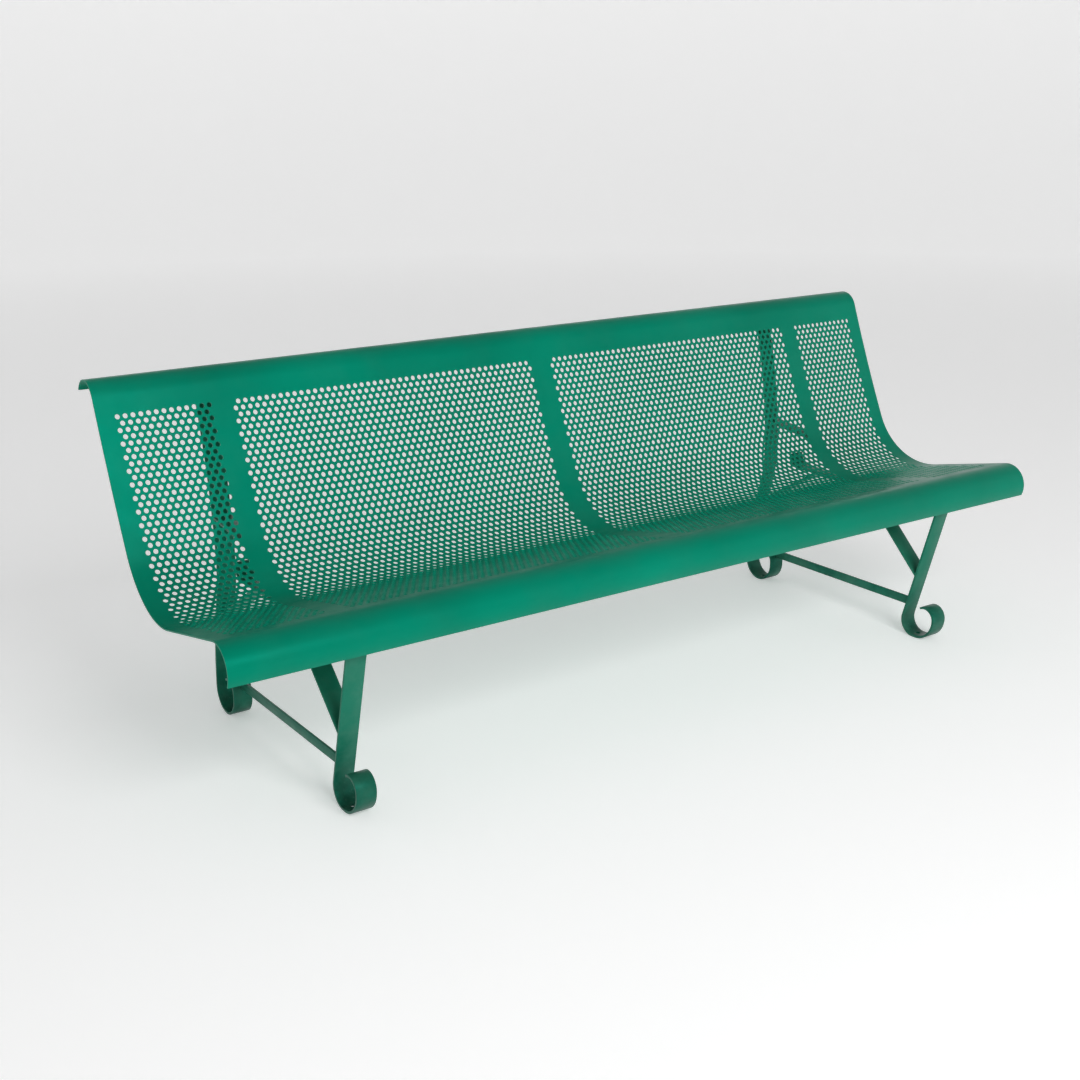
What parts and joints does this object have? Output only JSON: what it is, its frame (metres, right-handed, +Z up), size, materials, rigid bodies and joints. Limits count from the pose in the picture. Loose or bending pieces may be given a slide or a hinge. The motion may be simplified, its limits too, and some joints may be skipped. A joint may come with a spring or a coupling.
{
  "type": "perforated steel park bench",
  "caption": "Outdoor bench whose seat and back are one bent, perforated steel sheet on two flat-bar frames with scrolled feet.",
  "frame": {"origin": "centre of the overall box, on the floor under the feet", "axes": "+Z up; +X along the bench; the sitter faces -Y. Left and right nodes are as seen from in front, so left is -X"},
  "size_m": [1.984, 0.6514, 0.7326],
  "materials": {
    "sheet_paint": "emerald green gloss paint",
    "frame_paint": "emerald green gloss paint"
  },
  "bodies": {
    "root": {"sheet": "sheet_paint", "left_front_leg": "frame_paint", "left_rear_leg": "frame_paint", "left_seat_rail": "frame_paint", "left_front_brace": "frame_paint", "left_rear_brace": "frame_paint", "left_back_strut": "frame_paint", "left_stretcher": "frame_paint", "right_front_leg": "frame_paint", "right_rear_leg": "frame_paint", "right_seat_rail": "frame_paint", "right_front_brace": "frame_paint", "right_rear_brace": "frame_paint", "right_back_strut": "frame_paint", "right_stretcher": "frame_paint"}
  },
  "joints": []
}
